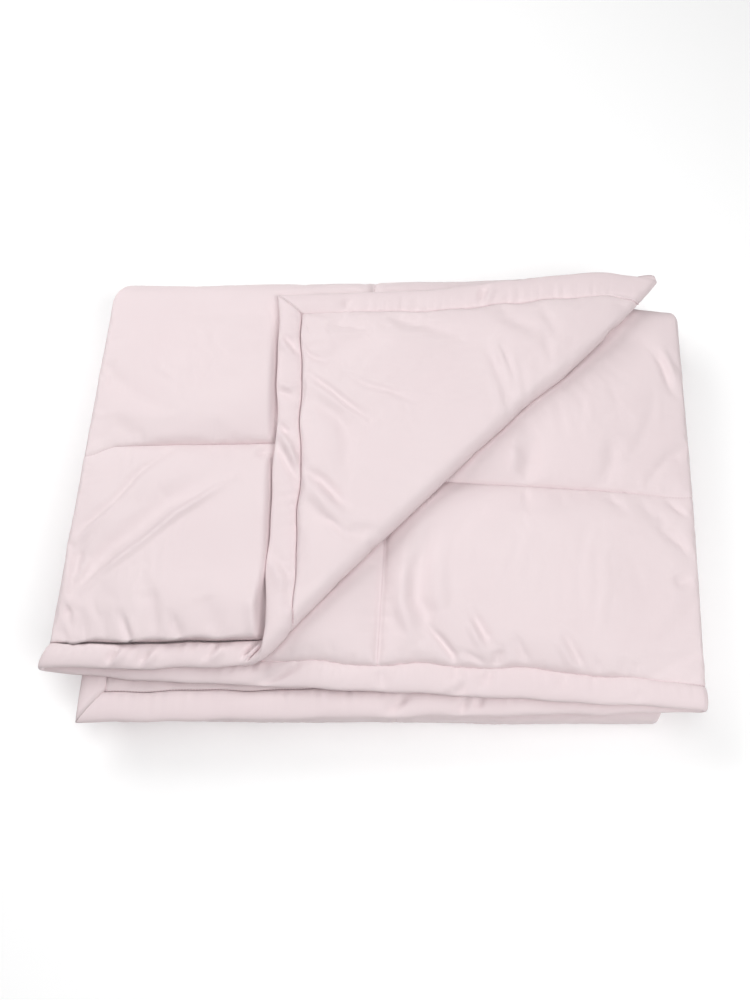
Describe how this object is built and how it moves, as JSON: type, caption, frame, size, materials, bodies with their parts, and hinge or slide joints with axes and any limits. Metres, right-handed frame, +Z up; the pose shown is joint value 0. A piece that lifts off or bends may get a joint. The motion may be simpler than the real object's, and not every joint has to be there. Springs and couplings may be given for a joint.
{
  "type": "folded wool duvet",
  "caption": "Quilted wool duvet with a bound edge, folded into a low rectangular pile, one corner of the top layer turned back over a diagonal.",
  "frame": {"origin": "on the surface under the middle of the folded pile", "axes": "+X to the right along the folded length, +Y to the back fold, +Z up through the layers"},
  "size_m": [0.6972, 0.53, 0.0959],
  "materials": {
    "duvet_cloth": "smooth cotton with a soft sheen",
    "binding_cloth": "smooth cotton with a soft sheen, sewn double"
  },
  "bodies": {
    "root": {"quilted_body": "duvet_cloth", "binding_front": "binding_cloth", "binding_turned_end": "binding_cloth", "binding_inner_end": "binding_cloth", "binding_under": "binding_cloth"}
  },
  "joints": []
}
